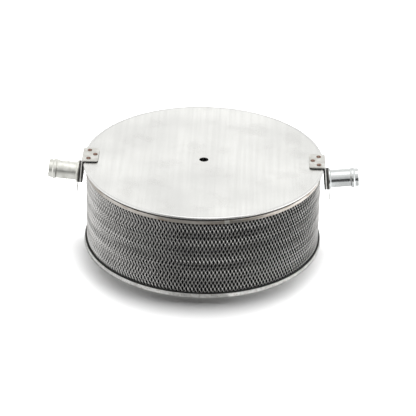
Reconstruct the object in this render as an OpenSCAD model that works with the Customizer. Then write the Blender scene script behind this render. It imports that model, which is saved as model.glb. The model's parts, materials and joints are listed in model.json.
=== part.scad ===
// Round drum air cleaner for a carburettor, with two breather spigots on brackets at the lid's edge.
// The origin is the centre of the base's underside, +Z is up and the spigots lie near +X and -X.

/* [Housing] */
// Height from the base's underside to the flat top of the lid
housing_h = 89; // [70:0.5:120]

/* [Lid] */
// Outside diameter over the rolled edge of the lid
lid_d = 240; // [232:1:260]
// Thickness of the lid sheet
lid_sheet = 1; // [0.8:0.1:1.5]
// Height of the rolled edge
lid_roll_d = 2.3; // [2:0.1:3]
// Diameter of the hole for the hold-down stud
stud_hole_d = 9; // [6:0.5:12]
// Thickness of the rubber seal under the lid
lid_seal_h = 3.5; // [3:0.1:5]
// Inside diameter of the rubber seal under the lid
lid_seal_bore_d = 202; // [190:1:210]

/* [Filter element] */
// Diameter over the top cap's skirt
cap_d = 236; // [232:0.5:236]
// Height of the top cap's skirts
cap_skirt_h = 3.6; // [3:0.1:8]
// Thickness of the top cap's sheet
cap_sheet = 0.6; // [0.4:0.1:0.8]
// Inside diameter of the element
element_bore_d = 180; // [150:1:190]
// Wall of the expanded metal cages
mesh_wall = 1.1; // [0.8:0.1:1.5]
// Height of the moulded ring round the element's foot
foot_ring_h = 4.8; // [3:0.1:8]
// Thickness of rubber under the element's foot
foot_ring_floor = 1.7; // [1:0.1:2.5]

/* [Base] */
// Outside diameter of the tray's upturned lip
tray_d = 238.8; // [238.4:0.1:240]
// Height of the tray's lip
tray_lip_h = 4.4; // [3:0.1:8]
// Thickness of the tray sheet
tray_sheet = 0.9; // [0.7:0.1:1]
// Bore of the rubber neck seal, which sits on the carburettor's air horn
neck_d = 130.2; // [100:0.1:135]
// Height of the neck seal
neck_seal_h = 12; // [8:0.5:16]

/* [Brackets] */
// How far each bracket is set round towards the back, in degrees
bracket_setback = 0.25; // [0:0.05:5]
// How far the hanging leg leans outwards, in degrees
leg_splay = 5.4; // [0:0.1:8]
// Width of the bracket
bracket_w = 28.5; // [26:0.5:32]
// Length of the leg that lies on the lid, from the bend's outer face
bracket_reach = 16.3; // [14:0.1:20]
// Thickness of the bracket sheet
bracket_sheet = 1; // [0.8:0.1:1.5]
// Thickness of the rubber pad under the bracket
pad_h = 1; // [0.6:0.1:1.5]
// Distance of the outer pair of rivets from the middle of the lid
rivet_pair_radius = 114.4; // [113:0.1:115]
// Distance of the single inner rivet from the middle of the lid
rivet_single_radius = 108.3; // [107:0.1:110]
// Spacing of the outer pair of rivets
rivet_pair_gap = 17.4; // [14:0.1:20]
// Diameter of a rivet's head
rivet_head_d = 4.6; // [4:0.1:6]
// Height of a rivet's head
rivet_head_h = 1.1; // [0.8:0.1:1.6]

/* [Spigots] */
// Outside diameter of the spigot tube
tube_d = 18; // [16:0.5:19]
// Wall of the spigot tube
tube_wall = 1.2; // [1:0.1:2]
// Diameter over the hose bead
bead_d = 20; // [19.5:0.5:22]
// Length of the spigot from the flange's outer face to its tip
tube_reach = 28.2; // [24:0.1:40]
// Distance from the spigot's tip to the middle of the bead
bead_setback = 6.1; // [5:0.1:10]
// Diameter of the spigot's flange
flange_d = 22; // [21:0.5:28]
// Thickness of the spigot's flange
flange_h = 1.6; // [1.2:0.1:2.5]
// Distance down the leg from the bend's centre to the spigot's axis
spigot_drop = 18.2; // [17:0.1:20]
// Thickness of the backing plate
plate_sheet = 0.8; // [0.6:0.1:1.2]
// Distance from the spigot's axis to the end of the backing plate's tongue
tongue_reach = 24.4; // [16:0.1:30]
// Width of the tongue
tongue_w = 3.5; // [2.5:0.1:6]
// Thickness of the gasket between the leg and the backing plate
gasket_h = 1.6; // [1:0.1:2]
// Thickness of the washer inside the leg
washer_h = 1.4; // [1:0.1:1.6]

/* [Hidden] */
$fn = 180;
left = -1;
right = 1;
cut = 0.5;           // how far a cutting shape runs past what it cuts
part_gap = 0.1;      // clearance between pieces that nest
hole_gap = 0.05;     // clearance round a rivet's or a spigot's hole
weld = 0.02;         // how far joined stretches of one sheet run into each other

// heights, from the bottom up
seal_bottom_z = housing_h - lid_sheet - lid_seal_h;
cap_top_z = seal_bottom_z;
foot_z = tray_sheet;
foot_floor_z = foot_z + foot_ring_floor;

// radii of the element, from the outside in
cap_r = cap_d / 2;
outer_mesh_r = cap_r - cap_sheet - part_gap;
foam_r = outer_mesh_r - mesh_wall - part_gap;
bore_r = element_bore_d / 2;
inner_mesh_r = bore_r + cap_sheet + part_gap;
foam_bore_r = inner_mesh_r + mesh_wall + part_gap;
foot_lip = 0.4;      // how far the foot ring stands inside the element's bore

// base
tray_r = tray_d / 2;
tray_corner_r = 1.6;
rim_r = neck_d / 2 + 0.9;     // inside of the tray's upturned neck rim
rim_top_z = neck_seal_h - 2;
neck_chamfer = 0.6;
seal_wrap = 1.6;     // rubber outside the rim
seal_wrap_h = 6;     // how far the rubber reaches down outside the rim

// bracket and leg
lid_r = lid_d / 2;
bend_r = bracket_sheet + 1;   // outer radius of the bend
bend_x = lid_r - 0.8;
bend_z = housing_h + pad_h + bracket_sheet - bend_r;
axis_x = bend_x + bend_r * cos(leg_splay) + spigot_drop * sin(leg_splay);
axis_z = bend_z + bend_r * sin(leg_splay) - spigot_drop * cos(leg_splay);
bracket_corner_r = 3;
bracket_inner_x = bend_x + bend_r - bracket_reach;
pad_outer_x = lid_r - 2.4;
pad_inset = 0.3;

// rivets
rivet_r = 1.6;
rivet_places = [
    [rivet_pair_radius, -rivet_pair_gap / 2],
    [rivet_pair_radius, rivet_pair_gap / 2],
    [rivet_single_radius, 0]
];
rivet_tail_r = 2.1;
rivet_tail_h = 1;
tail_pocket = 0.3;   // room round a tail in the lid seal

// spigot, measured out from the leg's outer face along the tube
tube_r = tube_d / 2;
flange_r = flange_d / 2;
plate_out = gasket_h;
flange_out = plate_out + plate_sheet;
tube_out = flange_out + flange_h;
tip_out = tube_out + tube_reach;
bead_out = tip_out - bead_setback;
bead_flat = 2.2;     // length of the bead's cylindrical crest
bead_ramp = 1.2;     // length of the slope on each side of the crest
swage_r = 10.4;
swage_h = 0.6;
swage_in = bracket_sheet + washer_h;

// ---- placing ----

// Puts its children at one side's bracket: +X outwards, +Z up.
module at_bracket(side) {
    mirror([side < 0 ? 1 : 0, 0, 0])
        rotate([0, 0, bracket_setback])
            children();
}

// Puts its children on one side's spigot axis: +Z out along the tube, +X down the leg,
// and the leg's outer face at zero.
module on_spigot(side) {
    at_bracket(side)
        translate([axis_x, 0, axis_z])
            rotate([0, 90 - leg_splay, 0])
                children();
}

module at_rivets() {
    for (place = rivet_places)
        translate([place[0], place[1], 0])
            children();
}

// ---- shapes that repeat ----

module ring(outer_r, inner_r, low_z, high_z) {
    translate([0, 0, low_z])
        difference() {
            cylinder(r = outer_r, h = high_z - low_z);
            translate([0, 0, -cut])
                cylinder(r = inner_r, h = high_z - low_z + 2 * cut);
        }
}

// Flat outline with its two inner corners rounded, from inner_x to outer_x.
module tab_outline(inner_x, outer_x, width, corner_r) {
    translate([inner_x + corner_r, -width / 2])
        square([outer_x - inner_x - corner_r, width]);
    translate([inner_x, -width / 2 + corner_r])
        square([corner_r, width - 2 * corner_r]);
    for (y = [-1, 1])
        translate([inner_x + corner_r, y * (width / 2 - corner_r)])
            circle(r = corner_r);
}

// ---- base ----

module base_tray() {
    color("silver")
        rotate_extrude()
            difference() {
                union() {
                    // floor and upturned lip, with a rounded corner between them
                    translate([rim_r, 0])
                        square([tray_r - tray_corner_r - rim_r, tray_sheet]);
                    translate([tray_r - tray_corner_r, tray_corner_r])
                        circle(r = tray_corner_r);
                    translate([tray_r - tray_sheet, tray_corner_r])
                        square([tray_sheet, tray_lip_h - tray_sheet / 2 - tray_corner_r]);
                    translate([tray_r - tray_sheet / 2, tray_lip_h - tray_sheet / 2])
                        circle(r = tray_sheet / 2);
                    // upturned rim round the neck hole
                    translate([rim_r, 0])
                        square([tray_sheet, rim_top_z]);
                }
                translate([tray_r - 2 * tray_corner_r - cut, tray_sheet])
                    square([2 * tray_corner_r + cut - tray_sheet, tray_lip_h]);
            }
}

module neck_seal() {
    seal_r = neck_d / 2;
    wrap_r = rim_r + tray_sheet;
    color("#232323")
        rotate_extrude()
            difference() {
                polygon([
                    [seal_r, neck_chamfer],
                    [seal_r + neck_chamfer, 0],
                    [wrap_r + seal_wrap, 0],
                    [wrap_r + seal_wrap, neck_seal_h - neck_chamfer],
                    [wrap_r + seal_wrap - neck_chamfer, neck_seal_h],
                    [seal_r + neck_chamfer, neck_seal_h],
                    [seal_r, neck_seal_h - neck_chamfer]
                ]);
                // slot for the rim
                translate([rim_r, -cut])
                    square([tray_sheet, rim_top_z + cut]);
                // the rubber stops above the tray's floor
                translate([wrap_r - cut, -cut])
                    square([seal_wrap + 2 * cut, neck_seal_h - seal_wrap_h + cut]);
            }
}

// ---- filter element ----

module element_foot_ring() {
    outer_wall_r = cap_r;
    inner_wall_r = bore_r - foot_lip;
    color("#1d1d1d")
        difference() {
            ring(outer_wall_r, inner_wall_r, foot_z, foot_z + foot_ring_h);
            ring(outer_mesh_r + part_gap, inner_mesh_r - part_gap, foot_floor_z, foot_z + foot_ring_h + cut);
        }
}

// Cage of expanded metal, held as a plain thin tube.
module mesh_cage(outer_r) {
    ring(outer_r, outer_r - mesh_wall, foot_floor_z, cap_top_z - cap_sheet);
}

module outer_mesh() {
    color("#9a9a98")
        mesh_cage(outer_mesh_r);
}

module inner_mesh() {
    color("#8c8c8a")
        mesh_cage(inner_mesh_r + mesh_wall);
}

module filter_foam() {
    color("#2b2b2c")
        ring(foam_r, foam_bore_r, foot_floor_z, cap_top_z - cap_sheet);
}

module element_top_cap() {
    color("#a39c94")
        difference() {
            ring(cap_r, bore_r, cap_top_z - cap_skirt_h, cap_top_z);
            ring(cap_r - cap_sheet, bore_r + cap_sheet, cap_top_z - cap_skirt_h - cut, cap_top_z - cap_sheet);
        }
}

// ---- lid ----

module lid_plate() {
    roll_r = lid_roll_d / 2;
    color("gainsboro")
        difference() {
            rotate_extrude()
                union() {
                    translate([stud_hole_d / 2, housing_h - lid_sheet])
                        square([lid_r - roll_r - stud_hole_d / 2, lid_sheet]);
                    translate([lid_r - roll_r, housing_h - roll_r])
                        circle(r = roll_r);
                }
            for (side = [left, right])
                at_bracket(side)
                    at_rivets()
                        translate([0, 0, housing_h - lid_sheet - cut])
                            cylinder(r = rivet_r + hole_gap, h = lid_sheet + 2 * cut);
        }
}

module lid_seal() {
    seal_r = lid_r - lid_roll_d - 0.3;
    pocket_h = rivet_tail_h + tail_pocket;
    color("#191919")
        difference() {
            ring(seal_r, lid_seal_bore_d / 2, seal_bottom_z, housing_h - lid_sheet);
            for (side = [left, right])
                at_bracket(side)
                    at_rivets()
                        translate([0, 0, housing_h - lid_sheet - pocket_h])
                            cylinder(r = rivet_tail_r + tail_pocket, h = pocket_h + cut);
        }
}

// ---- brackets ----

module bracket_pad(side) {
    color("#1b1b1b")
        at_bracket(side)
            difference() {
                translate([0, 0, housing_h])
                    linear_extrude(pad_h)
                        tab_outline(bracket_inner_x + pad_inset, pad_outer_x,
                            bracket_w - 2 * pad_inset, bracket_corner_r);
                at_rivets()
                    translate([0, 0, housing_h - cut])
                        cylinder(r = rivet_r + hole_gap, h = pad_h + 2 * cut);
            }
}

module bracket(side) {
    color("#cfd0cc") {
        // leg that lies on the lid
        at_bracket(side)
            difference() {
                translate([0, 0, housing_h + pad_h])
                    linear_extrude(bracket_sheet)
                        tab_outline(bracket_inner_x, bend_x + weld, bracket_w, bracket_corner_r);
                at_rivets()
                    translate([0, 0, housing_h + pad_h - cut])
                        cylinder(r = rivet_r + hole_gap, h = bracket_sheet + 2 * cut);
            }
        // bend over the lid's edge
        at_bracket(side)
            translate([bend_x, bracket_w / 2, bend_z])
                rotate([90, 0, 0])
                    linear_extrude(bracket_w)
                        intersection() {
                            difference() {
                                circle(r = bend_r);
                                circle(r = bend_r - bracket_sheet);
                            }
                            polygon([
                                [0, 0],
                                [0, 2 * bend_r],
                                [2 * bend_r, 2 * bend_r],
                                [2 * bend_r, 2 * bend_r * tan(leg_splay)]
                            ]);
                        }
        // hanging leg, which narrows to a round end about the spigot
        on_spigot(side)
            translate([0, 0, -bracket_sheet])
                linear_extrude(bracket_sheet)
                    difference() {
                        union() {
                            polygon([
                                [-spigot_drop - weld, -bracket_w / 2],
                                [0, -flange_r],
                                [0, flange_r],
                                [-spigot_drop - weld, bracket_w / 2]
                            ]);
                            circle(r = flange_r);
                        }
                        circle(r = tube_r + hole_gap);
                    }
    }
}

module rivets(side) {
    head_z = housing_h + pad_h + bracket_sheet;
    tail_z = housing_h - lid_sheet - rivet_tail_h;
    rim_h = 0.3;
    dome_h = rivet_head_h - rim_h;
    dome_r = (pow(rivet_head_d / 2, 2) + pow(dome_h, 2)) / (2 * dome_h);
    color("#8a5a44")
        at_bracket(side)
            at_rivets() {
                translate([0, 0, tail_z])
                    cylinder(r = rivet_tail_r, h = rivet_tail_h);
                translate([0, 0, tail_z])
                    cylinder(r = rivet_r, h = head_z - tail_z + rim_h);
                translate([0, 0, head_z])
                    intersection() {
                        cylinder(d = rivet_head_d, h = rivet_head_h);
                        translate([0, 0, rivet_head_h - dome_r])
                            sphere(r = dome_r);
                    }
            }
}

// ---- spigots ----

module flange_disc(low_z, high_z) {
    ring(flange_r, tube_r + hole_gap, low_z, high_z);
}

module spigot_gasket(side) {
    color("#161616")
        on_spigot(side)
            flange_disc(0, gasket_h);
}

module inner_washer(side) {
    color("#161616")
        on_spigot(side)
            flange_disc(-swage_in, -bracket_sheet);
}

// Backing plate behind the flange, with a narrow tongue that hangs below it.
module flange_plate(side) {
    color("#b4b0a8")
        on_spigot(side)
            translate([0, 0, plate_out])
                linear_extrude(plate_sheet)
                    difference() {
                        union() {
                            circle(r = flange_r);
                            translate([0, -tongue_w / 2])
                                square([tongue_reach - tongue_w / 2, tongue_w]);
                            translate([tongue_reach - tongue_w / 2, 0])
                                circle(d = tongue_w);
                        }
                        circle(r = tube_r + hole_gap);
                    }
}

module spigot(side) {
    inner_end = -swage_in - swage_h;
    flange_edge = 0.4;
    tip_edge = 0.4;
    bead_r = bead_d / 2;
    bead_start = bead_out - bead_flat / 2;
    bead_end = bead_out + bead_flat / 2;
    color("#c3c8c8")
        on_spigot(side)
            rotate_extrude()
                polygon([
                    [tube_r - tube_wall, inner_end],
                    [swage_r, inner_end],
                    [swage_r, inner_end + swage_h],
                    [tube_r, inner_end + swage_h],
                    [tube_r, flange_out],
                    [flange_r, flange_out],
                    [flange_r, tube_out - flange_edge],
                    [flange_r - flange_edge, tube_out],
                    [tube_r, tube_out],
                    [tube_r, bead_start - bead_ramp],
                    [bead_r, bead_start],
                    [bead_r, bead_end],
                    [tube_r, bead_end + bead_ramp],
                    [tube_r, tip_out - tip_edge],
                    [tube_r - tip_edge, tip_out],
                    [tube_r - tube_wall, tip_out]
                ]);
}

base_tray();
neck_seal();
element_foot_ring();
outer_mesh();
filter_foam();
inner_mesh();
element_top_cap();
lid_plate();
lid_seal();
bracket_pad(left);  // left_bracket_pad
bracket(left);  // left_bracket
rivets(left);  // left_rivets
spigot_gasket(left);  // left_spigot_gasket
flange_plate(left);  // left_flange_plate
spigot(left);  // left_spigot
inner_washer(left);  // left_inner_washer
bracket_pad(right);  // right_bracket_pad
bracket(right);  // right_bracket
rivets(right);  // right_rivets
spigot_gasket(right);  // right_spigot_gasket
flange_plate(right);  // right_flange_plate
spigot(right);  // right_spigot
inner_washer(right);  // right_inner_washer
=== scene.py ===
import json
import math

import bmesh
import bpy
from mathutils import Matrix, Vector, noise


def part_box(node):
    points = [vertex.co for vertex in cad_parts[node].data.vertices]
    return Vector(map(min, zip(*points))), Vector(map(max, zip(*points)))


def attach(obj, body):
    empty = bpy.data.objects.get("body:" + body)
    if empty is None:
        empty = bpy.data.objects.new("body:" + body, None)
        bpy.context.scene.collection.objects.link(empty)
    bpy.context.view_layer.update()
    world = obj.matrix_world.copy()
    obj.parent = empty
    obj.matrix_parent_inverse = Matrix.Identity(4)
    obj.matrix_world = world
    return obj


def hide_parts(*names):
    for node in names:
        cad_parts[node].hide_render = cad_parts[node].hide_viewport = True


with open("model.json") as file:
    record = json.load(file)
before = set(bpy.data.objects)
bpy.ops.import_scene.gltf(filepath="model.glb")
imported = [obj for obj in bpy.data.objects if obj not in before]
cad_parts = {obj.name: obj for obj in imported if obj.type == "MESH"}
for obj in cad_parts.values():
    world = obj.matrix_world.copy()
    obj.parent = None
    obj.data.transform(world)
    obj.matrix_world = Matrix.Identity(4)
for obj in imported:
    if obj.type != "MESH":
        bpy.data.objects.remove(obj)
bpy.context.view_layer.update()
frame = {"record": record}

# ---- base tray ----
# The bottom of the housing, pressed from 0.9 mm tinned sheet steel. Its lip is turned up round the outside,
# a rim is turned up round the neck hole, and a stiffening ring is pressed into the floor between them.
# Lengths in this file are in millimetres, and the shaping functions turn them into metres.
mm = 0.001
tray_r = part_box("base_tray")[1].x / mm
neck_rim_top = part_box("base_tray")[1].z / mm
tray_sheet = 0.9
tray_lip_top = 4.4
neck_hole_r = 66
bend_inside = 0.7
sheet_edge = 0.42
ring_inner_r = 73.5
ring_outer_r = 84.5
ring_height = 1.5
ring_slope = 2
ring_bend = 1.5
ring_lean = 0.3
neck_bend = 0.4


def turned(outline, turn=math.tau, steps=216):
    """A shape spun about Z. The outline's points are (radius, height, corner radius). An outline that
    starts and ends on the axis stays open there, and any other is closed."""
    mesh = bmesh.new()
    points = [mesh.verts.new((r * mm, 0, z * mm)) for r, z, _ in outline]
    for start, end in zip(points, points[1:]):
        mesh.edges.new((start, end))
    on_axis = outline[0][0] == 0
    if not on_axis:
        mesh.edges.new((points[-1], points[0]))
    for point, (_, _, corner_r) in zip(points, outline):
        if corner_r:
            ways = [edge.other_vert(point).co - point.co for edge in point.link_edges]
            angle = ways[0].angle(ways[1])
            bmesh.ops.bevel(
                mesh, geom=[point], offset=corner_r * mm / math.tan(angle / 2), affect="VERTICES",
                segments=max(2, round((math.pi - angle) / math.radians(18))), profile=0.5, material=-1)
    if turn < math.tau:
        bmesh.ops.contextual_create(mesh, geom=mesh.edges[:])
    bmesh.ops.spin(
        mesh, geom=mesh.verts[:] + mesh.edges[:] + mesh.faces[:], cent=(0, 0, 0), axis=(0, 0, 1),
        angle=turn, steps=steps, use_merge=turn == math.tau)
    bmesh.ops.remove_doubles(mesh, verts=mesh.verts[:], dist=0.001 * mm)
    bmesh.ops.recalc_face_normals(mesh, faces=mesh.faces[:])
    return mesh


class Signal:
    """A socket in a material. Arithmetic on it adds Math nodes, and node() adds any other node."""

    def __init__(self, tree, socket=None):
        self.tree = tree
        self.socket = socket

    def node(self, kind, settings=None, inputs=None, output=0):
        added = self.tree.nodes.new("ShaderNode" + kind)
        for name, value in (settings or {}).items():
            setattr(added, name, value)
        for name, value in (inputs or {}).items():
            if isinstance(value, Signal):
                self.tree.links.new(value.socket, added.inputs[name])
            else:
                added.inputs[name].default_value = value
        return Signal(self.tree, added.outputs[output] if len(added.outputs) else None)

    def math(self, operation, *values):
        return self.node("Math", {"operation": operation}, dict(enumerate(values)))

    def __add__(self, other):
        return self.math("ADD", self, other)

    def __sub__(self, other):
        return self.math("SUBTRACT", self, other)

    def __rsub__(self, other):
        return self.math("SUBTRACT", other, self)

    def __mul__(self, other):
        return self.math("MULTIPLY", self, other)

    def __truediv__(self, other):
        return self.math("DIVIDE", self, other)

    def __pow__(self, other):
        return self.math("POWER", self, other)

    __radd__ = __add__
    __rmul__ = __mul__


def new_finish(name):
    """An empty material, and the place in its nodes that its signals start from."""
    material = bpy.data.materials.new(name)
    material.use_nodes = True
    material.node_tree.nodes.clear()
    bench = Signal(material.node_tree)
    return material, bench


def surface(bench, colour, roughness, metallic=0.0, height=None, depth=0.0, fixed=None):
    """Closes a material with its shader. Height runs from 0 to 1, and depth is its full step."""
    inputs = {"Base Color": colour, "Roughness": roughness, "Metallic": metallic, **(fixed or {})}
    if height:
        inputs["Normal"] = bench.node("Bump", {}, {"Height": height, "Distance": depth * mm})
    shader = bench.node("BsdfPrincipled", {}, inputs)
    bench.node("OutputMaterial", {}, {"Surface": shader})


def place_on(bench):
    return bench.node("TexCoord", output="Object")


def mottle(bench, size, detail=3.0):
    """Soft blotches about this many millimetres across."""
    return bench.node("TexNoise", {}, {"Vector": place_on(bench), "Scale": 1 / (size * mm), "Detail": detail})


def drawn_out(bench, size, detail=2.0):
    """Blotches of a different size along X, Y and Z, which gives straight streaks."""
    stretched = bench.node(
        "Mapping", {}, {"Vector": place_on(bench), "Scale": tuple(1 / (length * mm) for length in size)})
    return bench.node("TexNoise", {}, {"Vector": stretched, "Scale": 1.0, "Detail": detail})


def hoop_streaks(bench, length, width, around_r, detail=2.0):
    """Streaks that run round Z, as rolling and wiping leave them."""
    x, y, z = (bench.node("SeparateXYZ", {}, {"Vector": place_on(bench)}, output=i) for i in range(3))
    radius = (x * x + y * y) ** 0.5
    reach = around_r / length
    hoop = bench.node(
        "CombineXYZ", {}, {"X": x / radius * reach, "Y": y / radius * reach, "Z": z / (width * mm)})
    return bench.node(
        "TexNoise", {"noise_dimensions": "4D"},
        {"Vector": hoop, "W": radius / (width * mm), "Scale": 1.0, "Detail": detail})


def between(signal, low, high):
    """0 below low, 1 above high, and a smooth step between them."""
    return signal.node(
        "MapRange", {"interpolation_type": "SMOOTHSTEP"},
        {"Value": signal, "From Min": low, "From Max": high})


def over(mask, under_colour, top_colour):
    return mask.node("Mix", {"data_type": "RGBA"}, {0: mask, 6: under_colour, 7: top_colour}, output=2)


def piece(name, mesh, finish, body, slot, *nodes, crease=35):
    """Makes the finished object, smooth where its faces meet at less than the crease angle."""
    for face in mesh.faces:
        face.smooth = True
    for edge in mesh.edges:
        edge.smooth = edge.calc_face_angle(0) < math.radians(crease)
    data = bpy.data.meshes.new(name)
    mesh.to_mesh(data)
    mesh.free()
    data.materials.append(finish)
    made = bpy.data.objects.new(name, data)
    bpy.context.scene.collection.objects.link(made)
    made.modifiers.new("even_shading", "WEIGHTED_NORMAL").keep_sharp = True
    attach(made, body)
    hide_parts(*nodes)
    return made


tray_finish, bench = new_finish("tray_tinned_steel")
tray_blotch = mottle(bench, 7)
tray_grime = between(mottle(bench, 2.2, detail=5), 0.48, 0.7)
tray_streak = hoop_streaks(bench, 22, 0.5, tray_r)
tray_colour = over(between(tray_blotch, 0.3, 0.7), (0.52, 0.52, 0.51, 1), (0.70, 0.70, 0.68, 1))
tray_colour = over(tray_grime * 0.5, tray_colour, (0.30, 0.27, 0.23, 1))
surface(
    bench, tray_colour, 0.28 + 0.22 * tray_streak + 0.16 * tray_grime, metallic=1.0,
    height=0.6 * tray_blotch + 0.4 * tray_streak, depth=0.12)

stiffening_ring = [
    (ring_inner_r, 0, ring_bend),
    (ring_inner_r + ring_slope, ring_height, ring_bend),
    (ring_outer_r - ring_slope, ring_height, ring_bend),
    (ring_outer_r, 0, ring_bend),
]
ring_top = [
    (r + (ring_lean if r > ring_inner_r + ring_slope else -ring_lean), z + tray_sheet, bend)
    for r, z, bend in reversed(stiffening_ring)
]
base_tray = turned([
    (neck_hole_r, 0, tray_sheet),
    *stiffening_ring,
    (tray_r, 0, bend_inside + tray_sheet),
    (tray_r, tray_lip_top, sheet_edge),
    (tray_r - tray_sheet, tray_lip_top, sheet_edge),
    (tray_r - tray_sheet, tray_sheet, bend_inside),
    *ring_top,
    (neck_hole_r + tray_sheet, tray_sheet, neck_bend),
    (neck_hole_r + tray_sheet, neck_rim_top, sheet_edge),
    (neck_hole_r, neck_rim_top, sheet_edge),
])
piece("tray", base_tray, tray_finish, "base", "tray_steel", "base_tray")

# ---- neck seal ----
# The moulded rubber ring that is pushed over the tray's neck rim. The carburettor's air horn fits its bore.
neck_bore_r = 65.1
neck_seal_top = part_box("neck_seal")[1].z / mm
neck_seal_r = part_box("neck_seal")[1].x / mm
neck_wrap_low = 6


def rubber(name, colour, shine, dust):
    """Moulded black rubber with fine grain, and dust in its hollows."""
    material, bench = new_finish(name)
    grain = mottle(bench, 0.5, detail=4)
    cloud = between(mottle(bench, 9), 0.4, 0.75)
    dusty = over(cloud * dust, (*colour, 1), (0.16, 0.155, 0.145, 1))
    surface(bench, dusty, shine + 0.25 * cloud, height=grain, depth=0.06, fixed={"Specular IOR Level": 0.4})
    return material


neck_rubber = rubber("neck_rubber", (0.022, 0.022, 0.022), 0.5, 0.18)
neck_seal = turned([
    (neck_bore_r, 0, 0.45),
    (neck_hole_r, 0, 0),
    (neck_hole_r, neck_rim_top, 0.1),
    (neck_hole_r + tray_sheet, neck_rim_top, 0.1),
    (neck_hole_r + tray_sheet, neck_wrap_low, 0),
    (neck_seal_r, neck_wrap_low, 0.4),
    (neck_seal_r, neck_seal_top, 0.9),
    (neck_bore_r, neck_seal_top, 0.9),
])
piece("neck_ring", neck_seal, neck_rubber, "base", "neck_rubber", "neck_seal")

# ---- element foot ring ----
# The black ring moulded round the foot of the filter element. The cages and the foam stand in its channel,
# and it seals the element against the tray's floor. Its black outer wall, where it shows above the tray's
# lip, also stands in for the shade in the gap there.
foot_low, foot_high = (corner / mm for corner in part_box("element_foot_ring"))
foot_inner_r = 89.6
foot_wall_in = 1
foot_wall_out = 0.6
foot_floor = 2.6
# Partly painted shade: this black shows as the dark strip just above the tray's lip.
foot_rubber = rubber("foot_rubber", (0.018, 0.018, 0.018), 0.45, 0.14)
foot_ring = turned([
    (foot_inner_r, foot_low.z, 0.5),
    (foot_high.x, foot_low.z, 0.6),
    (foot_high.x, foot_high.z, 0.3),
    (foot_high.x - foot_wall_out, foot_high.z, 0.25),
    (foot_high.x - foot_wall_out, foot_floor, 0.2),
    (foot_inner_r + foot_wall_in, foot_floor, 0.2),
    (foot_inner_r + foot_wall_in, foot_high.z, 0.25),
    (foot_inner_r, foot_high.z, 0.35),
])
piece("foot_ring", foot_ring, foot_rubber, "element", "foot_rubber", "element_foot_ring")

# ---- inner cage ----
# A tube of expanded steel that holds the foam from inside. A sheet is slit and stretched, so its strands
# stay one piece, each joined to the next at every second bond, and their faces turn out of the sheet.
slat_w = 0.76
slat_t = 0.42
slat_tilt = math.radians(35)
diamond_h = 7.52
bond_h = 1.1
bond_lap = 0.04
cage_depth = 2 * slat_w * math.sin(slat_tilt) + slat_t * math.cos(slat_tilt)


def expanded_cage(mid_r, low_z, high_z, columns):
    """Two strands to a column. One zigzags half a diamond after the other, so they meet in turn."""
    mesh = bmesh.new()
    half_pitch = math.pi * mid_r / columns
    rows = int((high_z - low_z) / (diamond_h / 2))
    first_z = (low_z + high_z - rows * diamond_h / 2) / 2
    across = Vector((-math.sin(slat_tilt), math.cos(slat_tilt), 0))
    face_out = Vector((math.cos(slat_tilt), math.sin(slat_tilt), 0))
    swing = Vector((0, half_pitch, 0)) - across * (slat_w - bond_lap)
    for strand, side in ((0, 1), (1, -1)):
        centre = Vector((mid_r, 0, first_z)) + swing * side / 2
        section = mesh.faces.new([
            mesh.verts.new((centre + across * slat_w * a / 2 + face_out * slat_t * b / 2) * mm)
            for a, b in ((-1, -1), (1, -1), (1, 1), (-1, 1))
        ])
        started = set(mesh.verts) - set(section.verts)
        for row in range(rows):
            towards = -side if row % 2 == 0 else side
            for step in (Vector((0, 0, bond_h)), swing * towards + Vector((0, 0, diamond_h / 2 - bond_h))):
                grown = bmesh.ops.extrude_face_region(mesh, geom=[section])["geom"]
                bmesh.ops.translate(
                    mesh, verts=[v for v in grown if isinstance(v, bmesh.types.BMVert)], vec=step * mm)
                section = next(f for f in grown if isinstance(f, bmesh.types.BMFace))
        strand_verts = [v for v in mesh.verts if v not in started]
        bmesh.ops.rotate(
            mesh, verts=strand_verts, cent=(0, 0, 0),
            matrix=Matrix.Rotation(strand * math.pi / columns, 3, "Z"))
    bmesh.ops.spin(
        mesh, geom=mesh.verts[:] + mesh.edges[:] + mesh.faces[:], cent=(0, 0, 0), axis=(0, 0, 1),
        angle=math.tau * (columns - 1) / columns, steps=columns - 1, use_duplicate=True)
    bmesh.ops.recalc_face_normals(mesh, faces=mesh.faces[:])
    return mesh


def slit_steel(name, dull, bright, roughness):
    """Expanded steel: brighter and smoother where it is rubbed, dull and dusty elsewhere."""
    material, bench = new_finish(name)
    cloud = between(mottle(bench, 24, detail=4), 0.35, 0.68)
    speck = mottle(bench, 1.1, detail=4)
    rust = between(mottle(bench, 5, detail=5), 0.62, 0.8)
    colour = over(cloud * 0.3 + speck * 0.5, (*dull, 1), (*bright, 1))
    colour = over(rust * 0.25, colour, (0.24, 0.20, 0.16, 1))
    surface(
        bench, colour, roughness + 0.10 * speck + 0.05 * cloud, metallic=1.0, height=speck, depth=0.03)
    return material


cage_foot, cage_top = (corner.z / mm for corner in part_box("inner_mesh"))
inner_cage_face_r = 90.75
inner_cage_columns = 154
inner_cage_r = inner_cage_face_r + cage_depth / 2
inner_steel = slit_steel("inner_cage_steel", (0.33, 0.33, 0.31), (0.52, 0.51, 0.49), 0.36)
inner_cage = expanded_cage(inner_cage_r, cage_foot, cage_top, inner_cage_columns)
piece("inner_cage", inner_cage, inner_steel, "element", "inner_cage_metal", "inner_mesh", crease=30)

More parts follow.
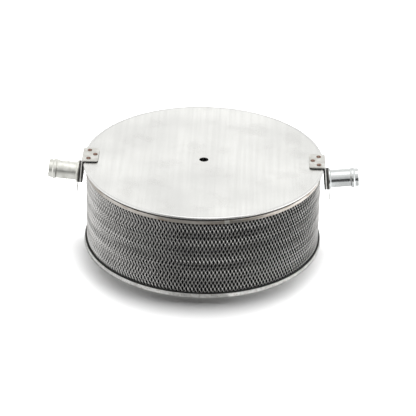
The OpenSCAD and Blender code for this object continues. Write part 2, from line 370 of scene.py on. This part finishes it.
# ---- filter foam ----
# The filter medium: a ring of charcoal open-cell foam between the two cages, cut from block foam and joined
# into a loop, so its faces are soft and a little uneven.
foam_r = 115.1
foam_bore_r = 92.8
foam_step = 2.5
foam_unevenness = 0.3
foam_bulge_size = 5.5
foam_cell = 0.9
foam_rows = round((cage_top - foot_floor) / foam_step)
foam_heights = [foot_floor + (cage_top - foot_floor) * row / foam_rows for row in range(foam_rows + 1)]
foam_ring = turned(
    [(foam_r, z, 0) for z in foam_heights] + [(foam_bore_r, z, 0) for z in reversed(foam_heights)], steps=288)
for vert in foam_ring.verts:
    outward = Vector((vert.co.x, vert.co.y, 0)).normalized()
    bulge = noise.noise(vert.co / (foam_bulge_size * mm)) * foam_unevenness
    vert.co += outward * bulge * mm
foam_finish, bench = new_finish("charcoal_foam")
cells = bench.node(
    "TexVoronoi", {"feature": "DISTANCE_TO_EDGE"}, {"Vector": place_on(bench), "Scale": 1 / (foam_cell * mm)})
pores_and_shade = between(cells, 0.02, 0.22)
foam_dust = between(mottle(bench, 14, detail=4), 0.45, 0.75)
# Painted shade: the middles of the pores are made darker than the cell walls, as shade in the foam's hollows.
foam_colour = over(pores_and_shade, (0.016, 0.016, 0.017, 1), (0.004, 0.004, 0.005, 1))
foam_colour = over(foam_dust * 0.3, foam_colour, (0.034, 0.032, 0.028, 1))
surface(bench, foam_colour, 0.95, height=1 - pores_and_shade, depth=0.5, fixed={"Specular IOR Level": 0.15})
foam = piece("foam_ring", foam_ring, foam_finish, "element", "foam", "filter_foam")

# ---- outer cage ----
# The drum of expanded steel round the foam, made as the inner cage is, with the long way of its diamonds
# upright. Its ends stand in the foot ring and in the top cap.
cage_gap = 0.05
outer_cage_columns = 198
outer_cage_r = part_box("outer_mesh")[1].x / mm - cage_gap - cage_depth / 2
# Painted light: the outer cage's steel is given much paler tones than the inner cage's, to brighten the
# drum's strands.
outer_steel = slit_steel("outer_cage_steel", (0.72, 0.71, 0.69), (0.96, 0.95, 0.93), 0.24)
outer_cage = expanded_cage(outer_cage_r, cage_foot, cage_top, outer_cage_columns)
piece("outer_cage", outer_cage, outer_steel, "element", "expanded_metal", "outer_mesh", crease=30)

# ---- element top cap ----
# A channel rolled from 0.6 mm tinplate that closes the top of the element. It is stained with age, and its
# two ends lap at one place, where they are soldered.
cap_low, cap_high = (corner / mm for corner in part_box("element_top_cap"))
cap_sheet = 0.6
cap_inner_r = 90
cap_bend = 0.9
cap_edge = 0.25


def channel(outer_r, inner_r, top_z, sheet):
    """Outline of a channel that opens downwards."""
    return [
        (inner_r, cap_low.z, cap_edge),
        (inner_r, top_z, cap_bend),
        (outer_r, top_z, cap_bend),
        (outer_r, cap_low.z, cap_edge),
        (outer_r - sheet, cap_low.z, cap_edge),
        (outer_r - sheet, top_z - sheet, cap_bend - cap_sheet),
        (inner_r + sheet, top_z - sheet, cap_bend - cap_sheet),
        (inner_r + sheet, cap_low.z, cap_edge),
    ]


cap_finish, bench = new_finish("stained_tinplate")
cap_cloud = between(mottle(bench, 30, detail=4), 0.35, 0.7)
cap_streak = hoop_streaks(bench, 26, 0.7, cap_high.x, detail=4)
cap_brown = between(hoop_streaks(bench, 14, 1.6, cap_high.x, detail=3), 0.5, 0.72)
cap_colour = over(cap_cloud, (0.46, 0.43, 0.39, 1), (0.66, 0.63, 0.59, 1))
cap_colour = over(cap_brown * 0.75, cap_colour, (0.27, 0.19, 0.13, 1))
surface(
    bench, cap_colour, 0.20 + 0.25 * cap_streak + 0.15 * cap_brown, metallic=1.0,
    height=0.5 * cap_streak + 0.5 * cap_cloud, depth=0.1)
top_cap = turned(channel(cap_high.x, cap_inner_r, cap_high.z, cap_sheet))
piece("top_cap", top_cap, cap_finish, "element", "cap_tinplate", "element_top_cap")

lap_side = math.radians(-77.4)
lap_width = math.radians(2.4)
lap_rise = 0.18
lap_over_top = 0.05
lap_sunk = 0.1
lap_reach = 8
lap_finish, bench = new_finish("solder")
solder_lump = mottle(bench, 1.6)
surface(
    bench, over(solder_lump, (0.62, 0.60, 0.55, 1), (0.86, 0.85, 0.80, 1)), 0.25 + 0.3 * solder_lump,
    metallic=1.0, height=solder_lump, depth=0.2)
cap_lap = turned([
    (cap_high.x - lap_reach, cap_high.z - lap_sunk, 0),
    (cap_high.x - lap_reach, cap_high.z + lap_over_top, 0),
    (cap_high.x + lap_rise, cap_high.z + lap_over_top, cap_bend),
    (cap_high.x + lap_rise, cap_low.z, lap_rise / 2),
    (cap_high.x - cap_sheet / 2, cap_low.z, 0),
    (cap_high.x - cap_sheet / 2, cap_high.z - lap_sunk, 0),
], turn=lap_width, steps=6)
bmesh.ops.rotate(
    cap_lap, verts=cap_lap.verts[:], cent=(0, 0, 0), matrix=Matrix.Rotation(lap_side - lap_width / 2, 3, "Z"))
piece("cap_lap_joint", cap_lap, lap_finish, "element", "cap_tinplate")

# ---- lid seal ----
# A flat ring of black rubber under the lid. The element's top cap presses into it, and the tails of the
# bracket rivets sit in pockets in its top.
seal_low, seal_high = (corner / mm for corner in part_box("lid_seal"))
seal_bore_r = 101
rivet_places = ((114.4, -8.7), (114.4, 8.7), (108.3, 0))
rivet_tail_r = 2.1
rivet_tail_h = 1
tail_pocket = 0.3
drill_past = 1
hose_mounts = {
    mount["name"].split("_")[0]: mount
    for mount in frame["record"]["mounts"] if mount["name"].endswith("hose_bead")
}


def bracket_frame(side):
    """Turns +X to the direction that one side's spigot points in, seen from above."""
    out = Vector(hose_mounts[side]["axis"])
    return Matrix.Rotation(math.atan2(out.y, out.x), 4, "Z")


def drilled(mesh, cutters):
    """Cuts closed meshes out of a closed mesh."""
    scratch = []
    for part in (mesh, *cutters):
        data = bpy.data.meshes.new("drill")
        part.to_mesh(data)
        part.free()
        scratch.append(bpy.data.objects.new("drill", data))
        bpy.context.scene.collection.objects.link(scratch[-1])
    blank, *bits = scratch
    for bit in bits:
        cut = blank.modifiers.new("cut", "BOOLEAN")
        cut.operation = "DIFFERENCE"
        cut.solver = "EXACT"
        cut.object = bit
    shaped = bmesh.new()
    shaped.from_object(blank, bpy.context.evaluated_depsgraph_get())
    for part in scratch:
        bpy.data.meshes.remove(part.data)
    return shaped


def drill(radius, low_z, high_z, place):
    """A round cutter that stands upright in the frame of place."""
    bit = turned([(0, low_z, 0), (radius, low_z, 0), (radius, high_z, 0), (0, high_z, 0)], steps=40)
    bmesh.ops.transform(bit, matrix=place, verts=bit.verts[:])
    return bit


def rivet_spots(side):
    """Each rivet's place on one side."""
    for x, y in rivet_places:
        yield bracket_frame(side) @ Matrix.Translation((x * mm, y * mm, 0))


seal_rubber = rubber("seal_rubber", (0.016, 0.016, 0.017), 0.4, 0.12)
lid_seal = turned([
    (seal_bore_r, seal_low.z, 0.5),
    (seal_high.x, seal_low.z, 0.6),
    (seal_high.x, seal_high.z, 0.5),
    (seal_bore_r, seal_high.z, 0.4),
])
lid_seal = drilled(lid_seal, [
    drill(
        rivet_tail_r + tail_pocket, seal_high.z - rivet_tail_h - tail_pocket, seal_high.z + drill_past, spot)
    for side in hose_mounts for spot in rivet_spots(side)
])
piece("seal_ring", lid_seal, seal_rubber, "lid", "lid_rubber", "lid_seal")

# ---- lid ----
# A flat disc of 1 mm sheet steel with its edge rolled under, a plain hole in the middle for the stud, and
# three rivet holes at each bracket. It is brushed from front to back, and handling has scuffed it.
lid_low, lid_high = (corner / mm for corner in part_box("lid_plate"))
lid_sheet = 1
stud_hole_r = 4.5
hem_r = (lid_high.z - lid_low.z) / 2
hem_x = lid_high.x - hem_r
shoulder = 2
roll_rise = 0.3
roll_foot = 1.3
roll_foot_bend = 1.2
hem_tail = 0.15
hem_z = lid_high.z - hem_r
hem_step = 15
hem_end = -165
rivet_r = 1.6
rivet_hole_r = 1.65

lid_finish, bench = new_finish("brushed_lid_steel")
brushing = drawn_out(bench, (0.45, 38, 38), detail=3)
broad_brushing = drawn_out(bench, (4, 120, 120), detail=2)
smudge = between(mottle(bench, 26, detail=6), 0.5, 0.72)
haze = mottle(bench, 90, detail=2)
nick_field = drawn_out(bench, (0.7, 6, 6), detail=2)
nicks = between(nick_field, 0.71, 0.76) * between(mottle(bench, 30, detail=1), 0.5, 0.6)
dent = mottle(bench, 55, detail=1)
lid_colour = over(between(haze, 0.3, 0.7), (0.78, 0.78, 0.77, 1), (0.92, 0.92, 0.905, 1))
lid_colour = over(smudge * 0.15, lid_colour, (0.66, 0.65, 0.62, 1))
lid_colour = over(nicks * 0.5, lid_colour, (0.45, 0.44, 0.42, 1))
lid_colour = over(between(broad_brushing, 0.3, 0.7) * 0.3, lid_colour, (0.70, 0.70, 0.69, 1))
surface(
    bench, lid_colour, 0.16 + 0.08 * brushing + 0.10 * smudge, metallic=1.0,
    height=0.35 * brushing + 0.5 * dent + 0.15 * nicks, depth=0.12)

lid_disc = turned([
    (stud_hole_r, lid_high.z - lid_sheet, 0.18),
    (stud_hole_r, lid_high.z, 0.25),
    (lid_high.x - shoulder - roll_foot, lid_high.z, roll_foot_bend),
    *[
        (
            lid_high.x - shoulder * (1 - math.cos(math.radians(a))),
            hem_z + (hem_r + roll_rise) * math.sin(math.radians(a)),
            0,
        )
        for a in range(90, 0, -hem_step)
    ],
    *[
        (hem_x + hem_r * math.cos(math.radians(a)), hem_z + hem_r * math.sin(math.radians(a)), 0)
        for a in range(0, hem_end - 1, -hem_step)
    ],
    (hem_x - hem_r - hem_tail, lid_high.z - lid_sheet, 0),
], steps=288)
lid_disc = drilled(lid_disc, [
    drill(rivet_hole_r, lid_high.z - 2 * lid_sheet, lid_high.z + lid_sheet, spot)
    for side in hose_mounts for spot in rivet_spots(side)
])
piece("lid_disc", lid_disc, lid_finish, "lid", "lid_steel", "lid_plate")

# ---- bracket pads, brackets and rivets ----
# On each side a bracket bent from 1 mm sheet lies on a thin rubber pad and hangs over the lid's edge. Three
# copper rivets hold bracket, pad and lid together, and their tails are spread under the lid. The pad's black
# edge also stands in for the shade under each bracket's edge, as a painted dark line.
pad_low_z, pad_high_z = (corner.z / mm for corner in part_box("right_bracket_pad"))
bracket_sheet = 1
bracket_top = pad_high_z + bracket_sheet
bracket_w = 28.5
bracket_inner_x = 104.9
bracket_corner_r = 3
bend_r = 2
bend_x = 119.2
bend_z = bracket_top - bend_r
bend_cuts = 8
spigot_drop = 18.2
flange_r = 11
tube_hole_r = 9.05
bore_past = 3
leg_splay = math.asin(hose_mounts["right"]["axis"][2])
bend_turn = math.pi / 2 - leg_splay
pad_inset = 0.3
pad_outer_x = 117.6


def blank(outline, rounded, thickness, cuts=()):
    """A flat plate cut from sheet, its top at height 0. The outline's points are (x, y), rounded maps a
    point's number to its corner radius, and the plate gets an edge across it at each x in cuts."""
    plate = bmesh.new()
    points = [plate.verts.new((x * mm, y * mm, 0)) for x, y in outline]
    plate.faces.new(points)
    for number, corner_r in rounded.items():
        bmesh.ops.bevel(
            plate, geom=[points[number]], offset=corner_r * mm, affect="VERTICES", segments=8, profile=0.5,
            material=-1)
    for x in cuts:
        bmesh.ops.bisect_plane(
            plate, geom=plate.verts[:] + plate.edges[:] + plate.faces[:], plane_co=(x * mm, 0, 0),
            plane_no=(1, 0, 0))
    grown = bmesh.ops.extrude_face_region(plate, geom=plate.faces[:])["geom"]
    bmesh.ops.translate(
        plate, verts=[v for v in grown if isinstance(v, bmesh.types.BMVert)], vec=(0, 0, -thickness * mm))
    bmesh.ops.recalc_face_normals(plate, faces=plate.faces[:])
    return plate


def eased(plate, width):
    """Takes the sharpness off a plate's rims."""
    rims = [edge for edge in plate.edges if edge.calc_face_angle(0) > math.radians(60)]
    bmesh.ops.bevel(
        plate, geom=rims, offset=width * mm, affect="EDGES", segments=2, profile=0.5, material=-1,
        clamp_overlap=True)
    return plate


def bent(x, y, height):
    """Where a point of the flat blank goes once the leg is bent down."""
    run = x - bend_x
    reach = bend_r + height
    if run <= 0:
        return Vector((x, y, bracket_top + height))
    turn = min(run / bend_r, bend_turn)
    rest = run - turn * bend_r
    down = Vector((math.cos(turn), 0, -math.sin(turn)))
    out = Vector((math.sin(turn), 0, math.cos(turn)))
    return Vector((bend_x, y, bend_z)) + out * reach + down * rest


leg_start = bend_x + bend_r * bend_turn
axis_run = leg_start + spigot_drop
half_w = bracket_w / 2
leg_steps = 24
leg_outline = [(bracket_inner_x, -half_w), (leg_start, -half_w)] + [
    (axis_run + flange_r * math.sin(a), -flange_r * math.cos(a))
    for a in (math.pi * i / leg_steps for i in range(leg_steps + 1))
] + [(leg_start, half_w), (bracket_inner_x, half_w)]
bend_lines = [bend_x + bend_r * bend_turn * i / bend_cuts for i in range(bend_cuts + 1)]

bracket_finish, bench = new_finish("bracket_steel")
bracket_cloud = between(mottle(bench, 9, detail=4), 0.35, 0.7)
bracket_grain = drawn_out(bench, (12, 0.4, 12), detail=3)
bracket_stain = between(mottle(bench, 3, detail=5), 0.55, 0.78)
bracket_colour = over(bracket_cloud, (0.66, 0.65, 0.62, 1), (0.84, 0.84, 0.81, 1))
bracket_colour = over(bracket_stain * 0.5, bracket_colour, (0.42, 0.37, 0.30, 1))
surface(
    bench, bracket_colour, 0.28 + 0.2 * bracket_grain + 0.12 * bracket_stain, metallic=1.0,
    height=0.6 * bracket_grain + 0.4 * bracket_cloud, depth=0.1)

rivet_finish, bench = new_finish("dull_copper")
rivet_patch = mottle(bench, 1.4, detail=4)
rivet_colour = over(between(rivet_patch, 0.3, 0.65), (0.08, 0.045, 0.035, 1), (0.32, 0.21, 0.165, 1))
surface(
    bench, rivet_colour, 0.35 + 0.3 * rivet_patch, metallic=0.85, height=rivet_patch, depth=0.15)
# The pad's black is partly painted shade: it makes the dark line under each bracket's edge.
pad_rubber = rubber("pad_rubber", (0.014, 0.014, 0.014), 0.5, 0.1)

rivet_head_r = 2.3
rivet_rim_h = 0.3
rivet_dome_h = 0.8
dome_r = (rivet_head_r ** 2 + rivet_dome_h ** 2) / (2 * rivet_dome_h)
dome_half = math.asin(rivet_head_r / dome_r)
rivet_top = bracket_top + rivet_rim_h + rivet_dome_h
lid_under = lid_high.z - lid_sheet
dome_steps = 6
dome_angles = [dome_half * (1 - i / dome_steps) for i in range(dome_steps + 1)]
dome = [(dome_r * math.sin(a), rivet_top - dome_r * (1 - math.cos(a)), 0) for a in dome_angles]
dome[-1] = (0, rivet_top, 0)

for side in hose_mounts:
    seat = bracket_frame(side)
    spots = list(rivet_spots(side))

    pad_half_w = half_w - pad_inset
    pad = blank([
        (bracket_inner_x + pad_inset, -pad_half_w),
        (pad_outer_x, -pad_half_w),
        (pad_outer_x, pad_half_w),
        (bracket_inner_x + pad_inset, pad_half_w),
    ], {0: bracket_corner_r, 3: bracket_corner_r}, pad_high_z - pad_low_z)
    eased(pad, 0.15)
    bmesh.ops.transform(pad, matrix=seat @ Matrix.Translation((0, 0, pad_high_z * mm)), verts=pad.verts[:])
    pad = drilled(pad, [
        drill(rivet_hole_r, pad_low_z - drill_past, pad_high_z + drill_past, spot) for spot in spots
    ])
    piece(side + "_pad", pad, pad_rubber, "lid", "gasket_rubber", side + "_bracket_pad")

    leg = blank(leg_outline, {0: bracket_corner_r, len(leg_outline) - 1: bracket_corner_r},
                bracket_sheet, bend_lines)
    eased(leg, 0.18)
    for vert in leg.verts:
        vert.co = bent(*(vert.co / mm)) * mm
    bmesh.ops.transform(leg, matrix=seat, verts=leg.verts[:])
    spigot_bore = drill(tube_hole_r, -bore_past, bore_past, Matrix.Identity(4))
    spigot_place = Matrix.Translation((
        (bend_x + bend_r * math.cos(leg_splay) + spigot_drop * math.sin(leg_splay)) * mm, 0,
        (bend_z + bend_r * math.sin(leg_splay) - spigot_drop * math.cos(leg_splay)) * mm,
    )) @ Matrix.Rotation(math.pi / 2 - leg_splay, 4, "Y")
    bmesh.ops.transform(spigot_bore, matrix=seat @ spigot_place, verts=spigot_bore.verts[:])
    leg = drilled(leg, [
        spigot_bore,
        *(drill(rivet_hole_r, pad_high_z - drill_past, bracket_top + drill_past, spot) for spot in spots),
    ])
    piece(side + "_bracket_plate", leg, bracket_finish, "lid", "bracket_steel", side + "_bracket")

    rivet = turned([
        (0, lid_under - rivet_tail_h, 0),
        (rivet_tail_r, lid_under - rivet_tail_h, 0.3),
        (rivet_tail_r, lid_under, 0.1),
        (rivet_r, lid_under, 0),
        (rivet_r, bracket_top, 0),
        (rivet_head_r, bracket_top, 0),
        *dome,
    ], steps=40)
    rivet_verts = rivet.verts[:]
    rivet_parts = rivet_verts + rivet.edges[:] + rivet.faces[:]
    for spot in spots[1:]:
        copy = bmesh.ops.duplicate(rivet, geom=rivet_parts)["geom"]
        copied = [v for v in copy if isinstance(v, bmesh.types.BMVert)]
        bmesh.ops.transform(rivet, matrix=spot, verts=copied)
    bmesh.ops.transform(rivet, matrix=spots[0], verts=rivet_verts)
    piece(side + "_copper_rivets", rivet, rivet_finish, "lid", "rivet_copper", side + "_rivets")

# ---- spigots and what they are clamped with ----
# Each hose spigot is a zinc-plated steel tube with a flange and a rolled bead. Its inner end goes through a
# backing plate, a gasket, the bracket's leg and a washer, and is swaged over to hold them together. The left
# one has a paler, warmer, rougher copy of the plating: painted light for the softer reflections on that side.
gasket_h = 1.6
plate_h = 0.8
flange_h = 1.6
washer_h = 1.4
tube_r = 9
tube_wall = 1.2
tube_reach = 28.2
bead_setback = 6.1
bead_flat = 2.2
bead_ramp = 1.2
bead_crest_r = hose_mounts["right"]["dims"]["r_mm"]
swage_r = 10.1
swage_h = 0.35
tongue_end = 24.4
tongue_w = 3.5
flange_low = gasket_h + plate_h
flange_top = flange_low + flange_h
tip = flange_top + tube_reach
bead_middle = tip - bead_setback
washer_low = -bracket_sheet - washer_h


def spigot_frame(side):
    """+Z out along the tube and +X down the leg, with the leg's outer face at 0."""
    out = Vector(hose_mounts[side]["axis"]).normalized()
    down = (out * out.z - Vector((0, 0, 1))).normalized()
    turned_to = Matrix((down, out.cross(down), out)).transposed().to_4x4()
    return Matrix.Translation(Vector(hose_mounts[side]["pos_m"]) - out * bead_middle * mm) @ turned_to


gasket_rubber = rubber("gasket_rubber", (0.013, 0.013, 0.013), 0.45, 0.1)

plate_finish, bench = new_finish("backing_plate_steel")
plate_cloud = mottle(bench, 4, detail=5)
plate_colour = over(between(plate_cloud, 0.35, 0.7), (0.10, 0.09, 0.08, 1), (0.22, 0.21, 0.19, 1))
surface(bench, plate_colour, 0.3 + 0.25 * plate_cloud, metallic=1.0, height=plate_cloud, depth=0.1)

spigot_finish, bench = new_finish("zinc_plate")
zinc_cloud = mottle(bench, 8, detail=4)
zinc_grain = mottle(bench, 0.8, detail=3)
zinc_spot = between(mottle(bench, 2.4, detail=5), 0.6, 0.75)
zinc_colour = over(zinc_cloud, (0.66, 0.68, 0.68, 1), (0.80, 0.82, 0.82, 1))
zinc_colour = over(zinc_spot * 0.4, zinc_colour, (0.45, 0.45, 0.42, 1))
surface(
    bench, zinc_colour, 0.14 + 0.12 * zinc_cloud + 0.18 * zinc_spot, metallic=1.0,
    height=0.7 * zinc_cloud + 0.3 * zinc_grain, depth=0.1)

# Painted light: the left spigot's zinc is made paler, warmer and rougher to give it softer reflections.
left_zinc_painted_light, bench = new_finish("aged_zinc_plate")
left_zinc_cloud = mottle(bench, 6, detail=5)
left_zinc_streak = drawn_out(bench, (14, 1.2, 1.2), detail=3)
left_zinc_light_colour = over(between(left_zinc_cloud, 0.3, 0.7), (0.72, 0.72, 0.67, 1), (0.92, 0.92, 0.87, 1))
surface(
    bench, left_zinc_light_colour, 0.30 + 0.16 * left_zinc_streak, metallic=1.0, height=0.6 * left_zinc_streak + 0.4 * left_zinc_cloud,
    depth=0.12)
zinc_finishes = {"left": left_zinc_painted_light, "right": spigot_finish}

neck = math.asin(tongue_w / 2 / flange_r)
rim_steps = 60
rim_turn = (math.tau - 2 * neck) / rim_steps
rim = [
    (flange_r * math.cos(neck + rim_turn * i), flange_r * math.sin(neck + rim_turn * i))
    for i in range(rim_steps + 1)
]
tongue_straight = tongue_end - tongue_w / 2
tongue_steps = 10
tongue = [
    (tongue_straight + tongue_w / 2 * math.sin(a), -tongue_w / 2 * math.cos(a))
    for a in (math.pi * i / tongue_steps for i in range(tongue_steps + 1))
]


def clamped(side, name, mesh, finish, slot, node):
    """Sets one piece of a side's stack in its place."""
    bmesh.ops.transform(mesh, matrix=spigot_frame(side), verts=mesh.verts[:])
    piece(side + name, mesh, finish, "lid", slot, side + node)


for side in hose_mounts:
    clamped(side, "_washer", turned([
        (tube_hole_r, washer_low, 0.2),
        (flange_r, washer_low, 0.35),
        (flange_r, -bracket_sheet, 0.2),
        (tube_hole_r, -bracket_sheet, 0.1),
    ], steps=96), gasket_rubber, "gasket_rubber", "_inner_washer")

    clamped(side, "_gasket", turned([
        (tube_hole_r, 0, 0.1),
        (flange_r, 0, 0.25),
        (flange_r, gasket_h, 0.25),
        (tube_hole_r, gasket_h, 0.1),
    ], steps=96), gasket_rubber, "gasket_rubber", "_spigot_gasket")

    plate = eased(blank(rim + tongue, {}, plate_h), 0.12)
    bmesh.ops.translate(plate, verts=plate.verts[:], vec=(0, 0, flange_low * mm))
    plate = drilled(plate, [
        drill(tube_hole_r, gasket_h - drill_past, flange_low + drill_past, Matrix.Identity(4))
    ])
    clamped(side, "_backing_plate", plate, plate_finish, "plate_steel", "_flange_plate")

    clamped(side, "_hose_spigot", turned([
        (tube_r - tube_wall, washer_low - swage_h, 0.3),
        (swage_r, washer_low - swage_h, 0.3),
        (swage_r, washer_low, 0.2),
        (tube_r, washer_low, 0),
        (tube_r, flange_low, 0),
        (flange_r, flange_low, 0.3),
        (flange_r, flange_top, 0.45),
        (tube_r, flange_top, 0.8),
        (tube_r, bead_middle - bead_flat / 2 - bead_ramp, 0.8),
        (bead_crest_r, bead_middle - bead_flat / 2, 0.9),
        (bead_crest_r, bead_middle + bead_flat / 2, 0.9),
        (tube_r, bead_middle + bead_flat / 2 + bead_ramp, 0.8),
        (tube_r, tip, 0.5),
        (tube_r - tube_wall, tip, 0.4),
    ], steps=128), zinc_finishes[side], "spigot_zinc", "_spigot")

# ---- studio ----
# A pale floor that runs out of sight, a wide soft light overhead and behind, and a low weak one ahead. The
# metal sees neither light. It mirrors a pale sky, patches laid on the floor and a wall of cards ahead, whose
# dark foot gives the rolled edges their dark lines.
floor_size = 12.0
floor_mesh = bmesh.new()
bmesh.ops.create_grid(floor_mesh, x_segments=1, y_segments=1, size=floor_size / 2)
floor_data = bpy.data.meshes.new("floor")
floor_mesh.to_mesh(floor_data)
floor_mesh.free()
floor = bpy.data.objects.new("floor", floor_data)
bpy.context.scene.collection.objects.link(floor)
floor_finish, bench = new_finish("pale_floor")
surface(bench, (0.9, 0.9, 0.9, 1), 0.9, fixed={"Specular IOR Level": 0.0})
floor_data.materials.append(floor_finish)


def soft_light(name, place, aim, width, height, power):
    data = bpy.data.lights.new(name, "AREA")
    data.shape = "RECTANGLE"
    data.size = width
    data.size_y = height
    data.energy = power
    light = bpy.data.objects.new(name, data)
    light.location = place
    light.rotation_euler = (Vector(aim) - Vector(place)).to_track_quat("-Z", "Y").to_euler()
    bpy.context.scene.collection.objects.link(light)
    return light


overhead = soft_light("overhead", (0.15, 2.49, 4.0), (0.15, 2.49, 0), 2.3, 4.56, 670)
overhead.visible_glossy = False
fill = soft_light("fill_ahead", (0, -3.0, 0.8), (0, 0, 0), 2.4, 1.2, 14)
fill.visible_glossy = False


def reflected_card(name, corners, tone):
    """A card that only polished metal sees, so that it shades reflections and nothing else."""
    card_mesh = bmesh.new()
    card_mesh.faces.new([card_mesh.verts.new(corner) for corner in corners])
    data = bpy.data.meshes.new(name)
    card_mesh.to_mesh(data)
    card_mesh.free()
    card = bpy.data.objects.new(name, data)
    card.visible_camera = False
    card.visible_diffuse = False
    card.visible_shadow = False
    bpy.context.scene.collection.objects.link(card)
    material, bench = new_finish(name)
    glow = bench.node("Emission", {}, {"Color": (tone, tone, tone, 1)})
    bench.node("OutputMaterial", {}, {"Surface": glow})
    data.materials.append(material)


def floor_card(name, left, right, near, far, tone, lift=0.0004):
    """A patch just over the floor."""
    reflected_card(
        name, [(left, near, lift), (right, near, lift), (right, far, lift), (left, far, lift)], tone)


def wall_card(name, left, right, low, high, tone):
    """A card that stands upright ahead of the object."""
    reflected_card(
        name, [(left, wall_y, low), (right, wall_y, low), (right, wall_y, high), (left, wall_y, high)], tone)


wall_y = -0.62
wall_step = 0.24
wall_top = 0.65
wall_left = -0.6
wall_turn = -0.3
wall_right = 0.45
dark_left = 0.09
shade_half = 0.135
middle_half = 0.03
clear_half = 0.175
side_reach = 1.2
side_near = -0.35
side_far = 0.6
ahead_far = -0.2
floor_card("floor_round", -2.5, 2.5, -2.5, 2.5, 0.7, lift=0.0002)
floor_card("floor_left", -side_reach, -clear_half, side_near, side_far, 0.85)
floor_card("floor_right", clear_half, side_reach, side_near, side_far, 1.6)
floor_card("floor_near_left", -shade_half, -middle_half, -shade_half, shade_half, 0.8)
floor_card("floor_near", -middle_half, middle_half, -shade_half, shade_half, 0.5)
floor_card("floor_near_right", middle_half, shade_half, -shade_half, shade_half, 1.1)
floor_card("floor_front", -0.08, 0.1, ahead_far, -shade_half, 0.12)
floor_card("floor_ahead", wall_turn, dark_left, wall_y, ahead_far, 0.42)
floor_card("floor_dark", dark_left, wall_right, wall_y, -0.18, 0.06)
wall_card("wall_grey", wall_left, wall_turn, 0, wall_top, 0.42)
wall_card("wall_dark", wall_turn, wall_right, 0, wall_step, 0.04)
wall_card("wall_pale", wall_turn, wall_right, wall_step, wall_top, 0.65)

world = bpy.data.worlds.new("studio_air")
bpy.context.scene.world = world
world.cycles_visibility.diffuse = False
world.use_nodes = True
world.node_tree.nodes.clear()
sky = Signal(world.node_tree)
sky_way = sky.node("TexCoord", output="Generated")
sky_y, sky_z = (sky.node("SeparateXYZ", {}, {"Vector": sky_way}, output=i) for i in (1, 2))
side_glow = (1 - between(sky_y, 0.05, 0.5)) * (1 - between(sky_z, 0.0, 0.27))
sky_colour = over(between(sky_z, 0.05, 0.4), (0.85, 0.85, 0.85, 1), (1.1, 1.1, 1.08, 1))
sky_colour = over(between(sky_z, 0.44, 0.57), sky_colour, (0.88, 0.88, 0.87, 1))
sky_colour = over(between(sky_z, 0.88, 0.98), sky_colour, (1.6, 1.6, 1.6, 1))
sky_colour = over(side_glow, sky_colour, (1.8, 1.8, 1.8, 1))
sky.node("OutputWorld", {}, {"Surface": sky.node("Background", {}, {"Color": sky_colour, "Strength": 1.0})})

camera_azimuth = math.radians(1.3)
camera_elevation = math.radians(29.74)
camera_distance = 2.119
camera_lens = 180.35
camera_roll = math.radians(-1.10)
aim_right = 0.00571
aim_up = 0.02949
from_middle = Vector((
    math.sin(camera_azimuth) * math.cos(camera_elevation),
    -math.cos(camera_azimuth) * math.cos(camera_elevation),
    math.sin(camera_elevation),
))
level = Vector((math.cos(camera_azimuth), math.sin(camera_azimuth), 0))
upright = from_middle.cross(level)
right = level * math.cos(camera_roll) - upright * math.sin(camera_roll)
up = level * math.sin(camera_roll) + upright * math.cos(camera_roll)
stand = from_middle * camera_distance
back = (stand - right * aim_right - up * aim_up).normalized()
right = up.cross(back).normalized()
up = back.cross(right)
camera_data = bpy.data.cameras.new("camera")
camera_data.lens = camera_lens
camera_data.sensor_width = 36
camera_data.clip_end = 50
camera = bpy.data.objects.new("camera", camera_data)
camera.matrix_world = Matrix.Translation(stand) @ Matrix((right, up, back)).transposed().to_4x4()
bpy.context.scene.collection.objects.link(camera)
bpy.context.scene.camera = camera
bpy.context.scene.view_settings.view_transform = "Standard"
